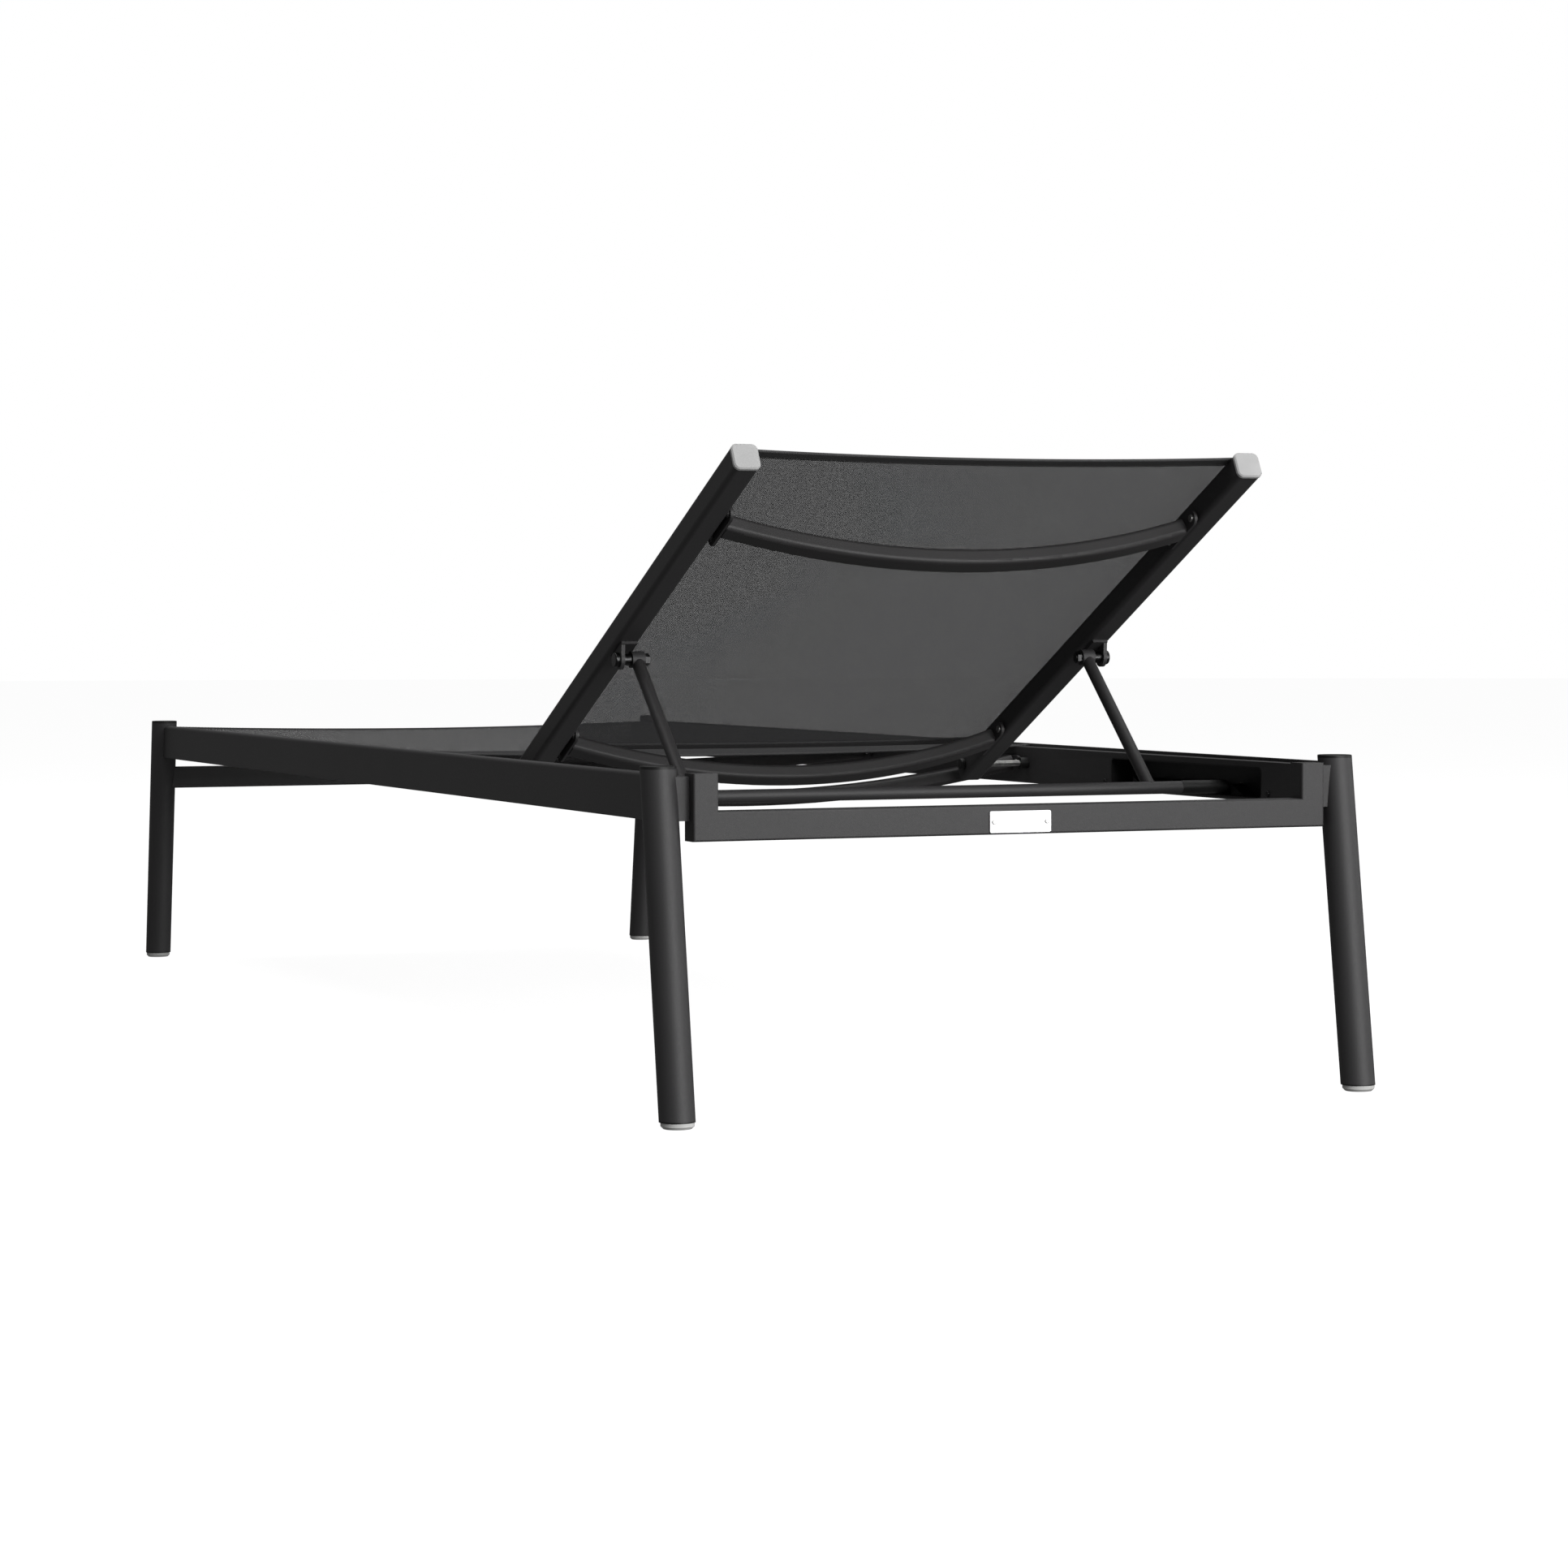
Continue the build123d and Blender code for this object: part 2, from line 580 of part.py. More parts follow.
def sling_notches():
    """The two corners that are cut out of the seat's sling so that it clears the foot legs."""
    inner = LEG_X - LEG_RADIUS - SLING_NOTCH_GAP
    reach = (SEAT_FOOT_EDGE - PAST, SEAT_KEDER_FOOT_END)
    left = block((inner, RAIL_OUTER), reach, (RAIL_BOTTOM, LEG_HEIGHT))
    return left + other_side(left)


def keder(keder_x, keder_z, low, high):
    """The cord sewn into the sling's edge."""
    return along_y(at_point(keder_x, keder_z, Circle(KEDER_RADIUS)), low, high)


# ---- backrest ----------------------------------------------------------------------------------------
def back_rail_section():
    body = at_point(BACK_RAIL_X, 0, RectangleRounded(BACK_RAIL_SIZE, BACK_RAIL_SIZE, BACK_RAIL_RADIUS))
    front = BACK_HALF + PAST
    step_low = BACK_RAIL_INNER - PAST
    step_high = BACK_KEDER_X - SLOT_WIDTH / 2
    step = at_point(
        (step_low + step_high) / 2,
        (BACK_SEAT_TOP + front) / 2,
        Rectangle(step_high - step_low, front - BACK_SEAT_TOP),
    )
    slot = at_point(BACK_KEDER_X, (BACK_KEDER_Z + front) / 2, Rectangle(SLOT_WIDTH, front - BACK_KEDER_Z))
    channel = at_point(BACK_KEDER_X, BACK_KEDER_Z, Circle(KEDER_CHANNEL_RADIUS))
    return body - step - slot - channel - at_point(BACK_RAIL_X, 0, back_cavity(0))


def back_cavity(shrink):
    """The hollow inside a back rail, or a plug a little smaller than it."""
    low = BACK_RAIL_WALL - BACK_HALF
    width = BACK_RAIL_SIZE - 2 * BACK_RAIL_WALL - 2 * shrink
    height = BACK_CAVITY_TOP - low - 2 * shrink
    return Pos(0, (low + BACK_CAVITY_TOP) / 2) * RectangleRounded(width, height, BACK_RAIL_RADIUS / 2)


def back_rail():
    rail = along_y(back_rail_section(), BACK_RAIL_LOW_END, BACK_RAIL_HIGH_END)
    reach = (BACK_RAIL_INNER - PAST, BACK_RAIL_OUTER + PAST)
    rail -= disc_x(HINGE_RADIUS + RUNNING_CLEARANCE, reach, 0, 0)
    inner_wall = (BACK_RAIL_INNER - PAST, BACK_RAIL_INNER + BACK_RAIL_WALL + PAST)
    for along, end_height, _ in BACK_BOWS.values():
        for y in flange_screws(along, FLANGE_SCREW_SPACING["back"]):
            rail -= disc_x(SCREW_RADIUS, inner_wall, y, end_height)
    return rail


def back_end_plug():
    """The block inside a back rail's low end that the hinge bolt turns in."""
    outline = at_point(BACK_RAIL_X, 0, back_cavity(PLUG_FIT))
    plug = along_y(outline, BACK_RAIL_LOW_END + END_PLUG_INSET, -BACK_RAIL_LOW_END)
    return plug - disc_x(HINGE_RADIUS + RUNNING_CLEARANCE, (BACK_RAIL_INNER, BACK_RAIL_OUTER), 0, 0)


def back_top_cap():
    """The cap over a back rail's high end, a little larger than the rail, with the plug that holds it."""
    side = BACK_RAIL_SIZE + 2 * CAP_OVERHANG
    outline = at_point(BACK_RAIL_X, 0, RectangleRounded(side, side, CAP_CORNER_RADIUS))
    cap = along_y(outline, BACK_RAIL_HIGH_END, BACK_RAIL_HIGH_END + CAP_THICKNESS)
    cap = chamfer(cap.edges().group_by(Axis.Y)[-1], CAP_CHAMFER)
    plug = at_point(BACK_RAIL_X, 0, back_cavity(PLUG_FIT))
    return cap + along_y(plug, BACK_RAIL_HIGH_END - CAP_PLUG, BACK_RAIL_HIGH_END)


def prop_ear():
    """A bent bracket under a back rail, with the hole for the prop's bolt."""
    low = EAR_ALONG - EAR_BASE_LENGTH / 2
    high = EAR_ALONG + EAR_BASE_LENGTH / 2
    outer = EAR_INNER + EAR_THICKNESS
    base = block(
        (BACK_RAIL_INNER + EAR_BASE_INSET, outer), (low, high), (-BACK_HALF - EAR_BASE_THICKNESS, -BACK_HALF)
    )
    sheet = Plane((EAR_INNER, 0, 0), x_dir=(0, 1, 0), z_dir=(1, 0, 0))
    cheek = Polygon(
        (low, -BACK_HALF),
        (high, -BACK_HALF),
        (EAR_ALONG + EAR_RADIUS, -EAR_DROP),
        (EAR_ALONG - EAR_RADIUS, -EAR_DROP),
        align=None,
    )
    cheek += Pos(EAR_ALONG, -EAR_DROP) * Circle(EAR_RADIUS)
    ear = base + extrude(sheet * cheek, amount=EAR_THICKNESS, dir=(1, 0, 0))
    return ear - disc_x(PROP_BOLT_RADIUS, (EAR_INNER - PAST, outer + PAST), EAR_ALONG, -EAR_DROP)


def prop_bolt():
    """The bolt that an arm turns on, with its round head outside the ear."""
    outer = EAR_INNER + EAR_THICKNESS
    end = ARM_X - ARM_EYE_WIDTH / 2 - PROP_SIDE_GAP - PROP_NUT_LENGTH - PROP_BOLT_TIP
    reach = (outer, outer + PROP_BOLT_HEAD_HEIGHT)
    head = dome_x(PROP_BOLT_HEAD_RADIUS, reach, EAR_ALONG, -EAR_DROP, PROP_BOLT_HEAD_EDGE)
    return head + disc_x(PROP_BOLT_RADIUS, (end, outer), EAR_ALONG, -EAR_DROP)


def prop_spacer():
    start = ARM_X + ARM_EYE_WIDTH / 2 + PROP_SIDE_GAP
    sleeve = disc_x(PROP_SPACER_RADIUS, (start, EAR_INNER), EAR_ALONG, -EAR_DROP)
    return sleeve - disc_x(PROP_BOLT_RADIUS, (start - PAST, EAR_INNER + PAST), EAR_ALONG, -EAR_DROP)


def prop_nut():
    """A hexagonal nut on the bolt's inner end."""
    high = ARM_X - ARM_EYE_WIDTH / 2 - PROP_SIDE_GAP
    low = high - PROP_NUT_LENGTH
    sheet = Plane((low, EAR_ALONG, -EAR_DROP), x_dir=(0, 1, 0), z_dir=(1, 0, 0))
    nut = extrude(sheet * RegularPolygon(PROP_NUT_RADIUS, 6), amount=PROP_NUT_LENGTH, dir=(1, 0, 0))
    return nut - disc_x(PROP_BOLT_RADIUS, (low - PAST, high + PAST), EAR_ALONG, -EAR_DROP)


# ---- hinge -------------------------------------------------------------------------------------------
def hinge_bolt():
    """The bolt a back rail swings on, fixed in the side rail, with its head on the inner side."""
    head_base = BACK_RAIL_INNER - HINGE_END_GAP
    head = disc_x(HINGE_HEAD_RADIUS, (head_base - HINGE_HEAD_HEIGHT, head_base), HINGE_Y, HINGE_Z)
    end = RAIL_INNER + RAIL_WALL + HINGE_NUT_LENGTH
    return head + disc_x(HINGE_RADIUS, (head_base, end), HINGE_Y, HINGE_Z)


def hinge_cover():
    """The black cap that is pressed over the bolt's head."""
    head_base = BACK_RAIL_INNER - HINGE_END_GAP
    reach = (head_base, head_base - HINGE_COVER_HEIGHT)
    cover = dome_x(HINGE_COVER_RADIUS, reach, HINGE_Y, HINGE_Z, HINGE_COVER_EDGE)
    pocket = (head_base - HINGE_HEAD_HEIGHT, head_base + PAST)
    return cover - disc_x(HINGE_HEAD_RADIUS, pocket, HINGE_Y, HINGE_Z)


def hinge_collar(radius, low, high):
    """A ring round the bolt's shank."""
    ring = disc_x(radius, (low, high), HINGE_Y, HINGE_Z)
    return ring - disc_x(HINGE_RADIUS, (low - PAST, high + PAST), HINGE_Y, HINGE_Z)


def hinge_bush():
    """The black collar between the side rail and the bright part of the bolt."""
    return hinge_collar(HINGE_BUSH_RADIUS, RAIL_INNER - HINGE_BUSH_LENGTH, RAIL_INNER)


def hinge_nut():
    """The threaded insert inside the side rail."""
    start = RAIL_INNER + RAIL_WALL
    return hinge_collar(HINGE_NUT_RADIUS, start, start + HINGE_NUT_LENGTH)


# ---- prop, drawn with its own Y running down the arm from the bolt -----------------------------------
def prop_arm():
    eye = disc_x(ARM_EYE_RADIUS, (ARM_X - ARM_EYE_WIDTH / 2, ARM_X + ARM_EYE_WIDTH / 2), 0, 0)
    reach = ARM_LENGTH - ARM_END_SETBACK
    tube = Pos(ARM_X, reach / 2, 0) * Rot(90, 0, 0) * Cylinder(ARM_RADIUS, reach)
    arm = eye + tube
    across = (ARM_X - THROUGH, ARM_X + THROUGH)
    arm -= disc_x(PROP_BOLT_RADIUS + RUNNING_CLEARANCE, across, 0, 0)
    arm -= disc_x(ROD_RADIUS, across, ARM_LENGTH, 0)
    return arm.solids().sort_by(SortBy.VOLUME)[-1]


def prop_rod():
    rod = disc_x(ROD_RADIUS, (-ROD_HALF_LENGTH, ROD_HALF_LENGTH), ARM_LENGTH, 0)
    return rod - disc_x(ROD_BORE, (-ROD_HALF_LENGTH - PAST, ROD_HALF_LENGTH + PAST), ARM_LENGTH, 0)


def rod_bush():
    """The black end of the rod that sits in the track."""
    body = dome_x(BUSH_RADIUS, (ROD_HALF_LENGTH, BUSH_END), ARM_LENGTH, 0, BUSH_EDGE)
    return body + disc_x(ROD_BORE, (ROD_HALF_LENGTH - BUSH_SPIGOT, ROD_HALF_LENGTH), ARM_LENGTH, 0)


# ---- build -------------------------------------------------------------------------------------------
def add_frame():
    add_legs()
    add_pair("side_rail", side_rail())
    add_group("rail_end_caps", four_corners(rail_end_cap()))
    add_pair("recline_track", recline_track())
    add_group("track_screws", both_sides(track_screws()))
    nodes["head_crossbar"] = head_crossbar()
    add_pair("head_upright", head_upright())
    nodes["foot_crossbar"] = foot_crossbar()
    nodes["name_plate"] = name_plate()
    add_group("name_plate_rivets", plate_rivets())
    add_bows("seat", SEAT_BOWS, RAIL_INNER, RAIL_WALL, Location())
    sheet = sling(SEAT_KEDER_X, SEAT_KEDER_Z, RAIL_SEAT_TOP, SEAT_FOOT_EDGE, SEAT_HEAD_EDGE)
    nodes["seat_sling"] = sheet - sling_notches()
    add_pair("seat_keder", keder(SEAT_KEDER_X, SEAT_KEDER_Z, SEAT_KEDER_FOOT_END, SEAT_HEAD_EDGE))
    add_pair("hinge_bolt", hinge_bolt())
    add_pair("hinge_bush", hinge_bush())
    add_group("hinge_covers", both_sides([hinge_cover()]))
    add_group("hinge_nuts", both_sides([hinge_nut()]))


def add_backrest():
    add_pair("back_rail", back_rail(), BACK_FRAME)
    add_pair("back_end_plug", back_end_plug(), BACK_FRAME)
    add_pair("back_top_cap", back_top_cap(), BACK_FRAME)
    cord = keder(BACK_KEDER_X, BACK_KEDER_Z, BACK_SLING_LOW_EDGE, BACK_SLING_HIGH_EDGE)
    add_pair("back_keder", cord, BACK_FRAME)
    add_bows("back", BACK_BOWS, BACK_RAIL_INNER, BACK_RAIL_WALL, BACK_FRAME)
    sheet = sling(BACK_KEDER_X, BACK_KEDER_Z, BACK_SEAT_TOP, BACK_SLING_LOW_EDGE, BACK_SLING_HIGH_EDGE)
    nodes["back_sling"] = BACK_FRAME * sheet
    add_pair("prop_ear", prop_ear(), BACK_FRAME)
    add_pair("prop_bolt", prop_bolt(), BACK_FRAME)
    add_group("prop_spacers", both_sides([prop_spacer()]), BACK_FRAME)
    add_group("prop_nuts", both_sides([prop_nut()]), BACK_FRAME)


def add_prop():
    add_pair("prop_arm", prop_arm(), PROP_FRAME)
    add_pair("rod_bush", rod_bush(), PROP_FRAME)
    nodes["prop_rod"] = PROP_FRAME * prop_rod()


def write_parts():
    os.makedirs("parts", exist_ok=True)
    for name, shape in nodes.items():
        export_step(shape, f"parts/{name}.step")


add_frame()
add_backrest()
add_prop()
write_parts()
print(len(nodes), "nodes; the prop's arm is", round(ARM_LENGTH, 2), "long")
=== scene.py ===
import json
from math import cos, pi, radians, sin

import bpy
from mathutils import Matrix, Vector


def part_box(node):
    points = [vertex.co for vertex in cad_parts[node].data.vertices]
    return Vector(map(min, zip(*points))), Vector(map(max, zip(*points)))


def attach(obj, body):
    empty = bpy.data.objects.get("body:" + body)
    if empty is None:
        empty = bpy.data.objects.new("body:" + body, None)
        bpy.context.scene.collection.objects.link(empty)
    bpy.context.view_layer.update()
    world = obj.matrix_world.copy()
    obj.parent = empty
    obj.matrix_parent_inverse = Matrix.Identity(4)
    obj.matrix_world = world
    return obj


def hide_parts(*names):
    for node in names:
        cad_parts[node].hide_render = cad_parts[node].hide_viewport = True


# The looks of the reclining lounger: powder coat, mesh slings with hems, plastic caps and tracks, bright
# fasteners, and the studio around it. Metres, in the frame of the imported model: X across, head end at +Y.

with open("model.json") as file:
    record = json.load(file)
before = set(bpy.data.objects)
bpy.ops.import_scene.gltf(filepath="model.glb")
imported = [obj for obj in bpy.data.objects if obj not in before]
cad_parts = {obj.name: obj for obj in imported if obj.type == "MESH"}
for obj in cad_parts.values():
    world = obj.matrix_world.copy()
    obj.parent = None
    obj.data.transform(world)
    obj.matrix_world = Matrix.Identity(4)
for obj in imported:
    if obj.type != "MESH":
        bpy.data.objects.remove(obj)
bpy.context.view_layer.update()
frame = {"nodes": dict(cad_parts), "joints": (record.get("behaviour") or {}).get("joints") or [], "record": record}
hinge = Vector(next(j for j in frame["joints"] if j["name"] == "back_recline")["pos_m"])

# ---- camera -------------------------------------------------------------------------------------------
CAMERA_PLACE = (1.6152, 4.2431, 0.4567)
CAMERA_TURN = (87.661, 0.102, 157.207)
LENS = 87.70
SENSOR = 36.0
VIEW_REACH = 100.0

# ---- slings -------------------------------------------------------------------------------------------
RECLINE = radians(26.8)
MESH_THICKNESS = 0.0011
SEAT_SAG = 0.0060
BACK_SAG = 0.0040
EDGE_PULL = 0.0035
EDGE_PULL_FADE = 7
HEM_WIDTH = 0.0125
HEM_THICKNESS = 0.0011
HEM_STEPS = 6
STITCH_INSET = 0.0022
STITCH_LENGTH = 0.0032
STITCH_GAP = 0.0012
STITCH_RADIUS = 0.00035
STITCH_ROUNDNESS = 1
ACROSS_STEPS = 96
ALONG_STEPS = 180
YARN_PITCH = 0.0013
HOLE_LEVEL = 0.14

# ---- finishes: tones are linear, noise scales are per metre, a bump is its strength and its height ----
TONE_REACH = (0.3, 0.7)
HALF = 0.5

COAT_TONES = ((0.0162, 0.0152, 0.0157), (0.0205, 0.0193, 0.0198))
COAT_TONE_REACH = (0.35, 0.65)
COAT_MOTTLE = {"scale": 9.0, "detail": 3.0}
COAT_SHEEN_NOISE = {"scale": 420.0, "detail": 2.0}
COAT_ROUGHNESS = (0.50, 0.62)
COAT_SPECULAR = 0.5
COAT_GRAIN = {"scale": 900.0, "detail": 3.0, "roughness": 0.6}
COAT_BUMP = (0.22, 0.0004)
RUBBED_TONE = (0.045, 0.045, 0.047)
RUBBED_SHARE = 0.35
EDGE_FLAT = 0.53
EDGE_SHARP = 0.62

# Each moulded plastic's two tones, its roughness and the strength of its grain.
PLASTICS = {
    "black_plastic": (((0.004, 0.004, 0.004), (0.008, 0.008, 0.008)), 0.5, 0.25),
    "grey_plastic": (((0.50, 0.50, 0.49), (0.62, 0.62, 0.61)), 0.45, 0.2),
    "cap_plastic": (((0.40, 0.40, 0.40), (0.45, 0.45, 0.45)), 0.38, 0.15),
    "keder_cord": (((0.010, 0.010, 0.010), (0.020, 0.020, 0.020)), 0.5, 0.2),
}
PLASTIC_MOTTLE = {"scale": 35.0, "detail": 2.0}
PLASTIC_SHEEN_NOISE = {"scale": 600.0}
PLASTIC_ROUGHNESS_SPREAD = 0.06
PLASTIC_SPECULAR = 0.35
PLASTIC_GRAIN = {"scale": 1400.0, "detail": 2.0}
PLASTIC_GRAIN_HEIGHT = 0.0002

# Each plated steel's two tones.
STEELS = {
    "steel": ((0.24, 0.24, 0.235), (0.42, 0.42, 0.41)),
    "dark_steel": ((0.030, 0.030, 0.030), (0.055, 0.055, 0.056)),
}
STEEL_STAINS = {"scale": 260.0, "detail": 4.0}
STEEL_MARKS = {"stretch": (4000.0, 300.0, 300.0), "detail": 3.0}
STEEL_ROUGHNESS = (0.22, 0.42)
STEEL_BUMP = (0.15, 0.0001)
STEEL_METALLIC = 1.0

PLATE_TONES = ((0.70, 0.70, 0.71), (0.86, 0.86, 0.87))
PLATE_BRUSH = {"stretch": (60.0, 3000.0, 3000.0), "detail": 4.0}
PLATE_ROUGHNESS = (0.38, 0.55)
PLATE_BUMP = (0.1, 0.0001)
PLATE_METALLIC = 0.55

SLING_TONES = ((0.011, 0.011, 0.0112), (0.022, 0.022, 0.0225))
SLING_TONE_REACH = (0.2, 0.8)
SLING_MOTTLE = {"scale": 14.0, "detail": 3.0}
SLING_MOTTLE_SHARE = 0.5
SLING_GLOW_TONE = (0.030, 0.030, 0.031)
SLING_GLOW_SHARE = 0.35
HEM_TONES = ((0.016, 0.016, 0.0165), (0.032, 0.032, 0.033))
HEM_TONE_REACH = (0.2, 0.9)
YARN_SHEEN_NOISE = {"scale": 300.0}
YARN_ROUGHNESS = (0.50, 0.66)
YARN_BUMP = (0.6, 0.0003)

THREAD_TONES = ((0.010, 0.010, 0.010), (0.035, 0.035, 0.035))
THREAD_TONE_REACH = (0.2, 0.8)
THREAD_TWIST_SCALE = 900.0
THREAD_ROUGHNESS = 0.6
THREAD_BUMP = (0.5, 0.0002)

# ---- studio -------------------------------------------------------------------------------------------
PAPER_REACH = 30.0
FLOOR_GLOW = 0.93
FLOOR_SHADE = 0.25
DOME_GLOW = 1.0
DOME_SHADE = 0.0
DOME_SEGMENTS = 64
DOME_RINGS = 32
PAPER_FIBRES = {"scale": 3.0, "detail": 4.0}
PAPER_FIBRE_CONTRAST = 1.05
PAPER_ROUGHNESS = 1.0
PAPER_SPECULAR = 0.0
PAPER_LIGHT = (1.0, 1.0, 1.0)
SURROUND_LOW = 0.13
SURROUND_HIGH = 0.18
STRAIGHT_DOWN = -1.0
LAMP_AIM = (0.0, 0.0, 0.35)
# Each lamp's name, place, size in metres and power in watts.
LAMPS = (
    ("key", (-0.6, 5.8, 2.6), (3.0, 2.0), 170.0),
    ("low_card", (-2.5, 5.8, 0.55), (3.0, 0.9), 130.0),
    ("top", (0.0, 0.0, 4.5), (5.0, 5.0), 150.0),
    ("side", (-5.0, 1.5, 2.0), (2.0, 3.0), 60.0),
)


# ---- small helpers for node materials -----------------------------------------------------------------
def opaque(tone):
    """A tone with full alpha."""
    return (*tone, 1.0)


class Nodes:
    """A material's node tree, with short names for the nodes that are used here."""

    def __init__(self, name):
        self.material = bpy.data.materials.new(name)
        self.material.use_nodes = True
        self.tree = self.material.node_tree
        self.shader = self.tree.nodes["Principled BSDF"]
        self.output = self.tree.nodes["Material Output"]

    def add(self, kind, **settings):
        node = self.tree.nodes.new(kind)
        for key, value in settings.items():
            setattr(node, key, value)
        return node

    def link(self, source, target):
        self.tree.links.new(source, target)

    def place(self):
        """Positions in the piece's own frame, in metres."""
        return self.add("ShaderNodeTexCoord").outputs["Object"]

    def noise(self, scale, detail=2.0, roughness=0.5, vector=None):
        node = self.add("ShaderNodeTexNoise")
        node.inputs["Scale"].default_value = scale
        node.inputs["Detail"].default_value = detail
        node.inputs["Roughness"].default_value = roughness
        self.link(self.place() if vector is None else vector, node.inputs["Vector"])
        return node.outputs["Fac"]

    def streaks(self, stretch, detail):
        """Noise with its own scale on each axis, so that it runs in streaks."""
        node = self.add("ShaderNodeMapping")
        node.inputs["Scale"].default_value = stretch
        self.link(self.place(), node.inputs["Vector"])
        return self.noise(1.0, detail, vector=node.outputs["Vector"])

    def ramp(self, factor, tones, reach=TONE_REACH):
        """The first tone up to the start of the reach, the second from its end, and a blend between."""
        node = self.add("ShaderNodeValToRGB")
        for element, position, tone in zip(node.color_ramp.elements, reach, tones):
            element.position = position
            element.color = opaque(tone)
        self.link(factor, node.inputs["Fac"])
        return node.outputs["Color"]

    def spread(self, factor, low, high):
        """Maps 0 to 1 onto low to high."""
        node = self.add("ShaderNodeMapRange")
        node.inputs["To Min"].default_value = low
        node.inputs["To Max"].default_value = high
        self.link(factor, node.inputs["Value"])
        return node.outputs["Result"]

    def math(self, operation, first, second=None):
        node = self.add("ShaderNodeMath", operation=operation)
        for socket, value in zip(node.inputs, (first, second)):
            if value is None:
                continue
            if isinstance(value, (int, float)):
                socket.default_value = value
            else:
                self.link(value, socket)
        return node.outputs["Value"]

    def bump(self, height, strength, distance):
        node = self.add("ShaderNodeBump")
        node.inputs["Strength"].default_value = strength
        node.inputs["Distance"].default_value = distance
        self.link(height, node.inputs["Height"])
        return node.outputs["Normal"]

    def worn_edges(self):
        """0 on flat ground, 1 on convex edges."""
        pointiness = self.add("ShaderNodeNewGeometry").outputs["Pointiness"]
        node = self.add("ShaderNodeMapRange")
        node.inputs["From Min"].default_value = EDGE_FLAT
        node.inputs["From Max"].default_value = EDGE_SHARP
        self.link(pointiness, node.inputs["Value"])
        return node.outputs["Result"]


def powder_coat():
    """Charcoal powder coat: a fine orange-peel grain, faint mottling and slightly lighter rubbed edges."""
    n = Nodes("powder_coat")
    edge = n.add("ShaderNodeMixRGB")
    edge.inputs["Color2"].default_value = opaque(RUBBED_TONE)
    n.link(n.math("MULTIPLY", n.worn_edges(), RUBBED_SHARE), edge.inputs["Fac"])
    n.link(n.ramp(n.noise(**COAT_MOTTLE), COAT_TONES, COAT_TONE_REACH), edge.inputs["Color1"])
    n.link(edge.outputs["Color"], n.shader.inputs["Base Color"])
    n.link(n.spread(n.noise(**COAT_SHEEN_NOISE), *COAT_ROUGHNESS), n.shader.inputs["Roughness"])
    n.link(n.bump(n.noise(**COAT_GRAIN), *COAT_BUMP), n.shader.inputs["Normal"])
    n.shader.inputs["Specular IOR Level"].default_value = COAT_SPECULAR
    return n.material


def moulded_plastic(name, tones, roughness, grain_strength):
    """Moulded plastic with a fine spark-eroded grain and a faint tone change."""
    n = Nodes(name)
    low = roughness - PLASTIC_ROUGHNESS_SPREAD
    high = roughness + PLASTIC_ROUGHNESS_SPREAD
    n.link(n.ramp(n.noise(**PLASTIC_MOTTLE), tones), n.shader.inputs["Base Color"])
    n.link(n.spread(n.noise(**PLASTIC_SHEEN_NOISE), low, high), n.shader.inputs["Roughness"])
    grain = n.noise(**PLASTIC_GRAIN)
    n.link(n.bump(grain, grain_strength, PLASTIC_GRAIN_HEIGHT), n.shader.inputs["Normal"])
    n.shader.inputs["Specular IOR Level"].default_value = PLASTIC_SPECULAR
    return n.material


def plated_steel(name, tones):
    """Zinc-plated steel with turning marks and small stains."""
    n = Nodes(name)
    marks = n.streaks(**STEEL_MARKS)
    n.link(n.ramp(n.noise(**STEEL_STAINS), tones), n.shader.inputs["Base Color"])
    n.link(n.spread(marks, *STEEL_ROUGHNESS), n.shader.inputs["Roughness"])
    n.link(n.bump(marks, *STEEL_BUMP), n.shader.inputs["Normal"])
    n.shader.inputs["Metallic"].default_value = STEEL_METALLIC
    return n.material


def plate_metal():
    """Plain anodised aluminium, brushed along the plate."""
    n = Nodes("plate_metal")
    brush = n.streaks(**PLATE_BRUSH)
    n.link(n.ramp(brush, PLATE_TONES), n.shader.inputs["Base Color"])
    n.link(n.spread(brush, *PLATE_ROUGHNESS), n.shader.inputs["Roughness"])
    n.link(n.bump(brush, *PLATE_BUMP), n.shader.inputs["Normal"])
    n.shader.inputs["Metallic"].default_value = PLATE_METALLIC
    return n.material


def yarn_wave(n, coordinate):
    """A 0 to 1 wave, one crest per yarn."""
    turns = n.math("MULTIPLY", coordinate, 2 * pi / YARN_PITCH)
    return n.math("ADD", n.math("MULTIPLY", n.math("SINE", turns), HALF), HALF)


def yarn_height(n):
    """The height of yarns that run both ways, from the piece's UV metres."""
    uv = n.add("ShaderNodeSeparateXYZ")
    n.link(n.add("ShaderNodeUVMap", uv_map="cloth").outputs["UV"], uv.inputs["Vector"])
    return n.math("MAXIMUM", yarn_wave(n, uv.outputs["X"]), yarn_wave(n, uv.outputs["Y"]))


def yarn_surface(n, height):
    """The sheen and the relief that the sling and its hems share."""
    n.link(n.spread(n.noise(**YARN_SHEEN_NOISE), *YARN_ROUGHNESS), n.shader.inputs["Roughness"])
    n.link(n.bump(height, *YARN_BUMP), n.shader.inputs["Normal"])


def mixed(n, share, first, second):
    """Two shaders mixed by the share of the second."""
    mix = n.add("ShaderNodeMixShader")
    if isinstance(share, float):
        mix.inputs["Fac"].default_value = share
    else:
        n.link(share, mix.inputs["Fac"])
    n.link(first, mix.inputs[1])
    n.link(second, mix.inputs[2])
    return mix.outputs["Shader"]


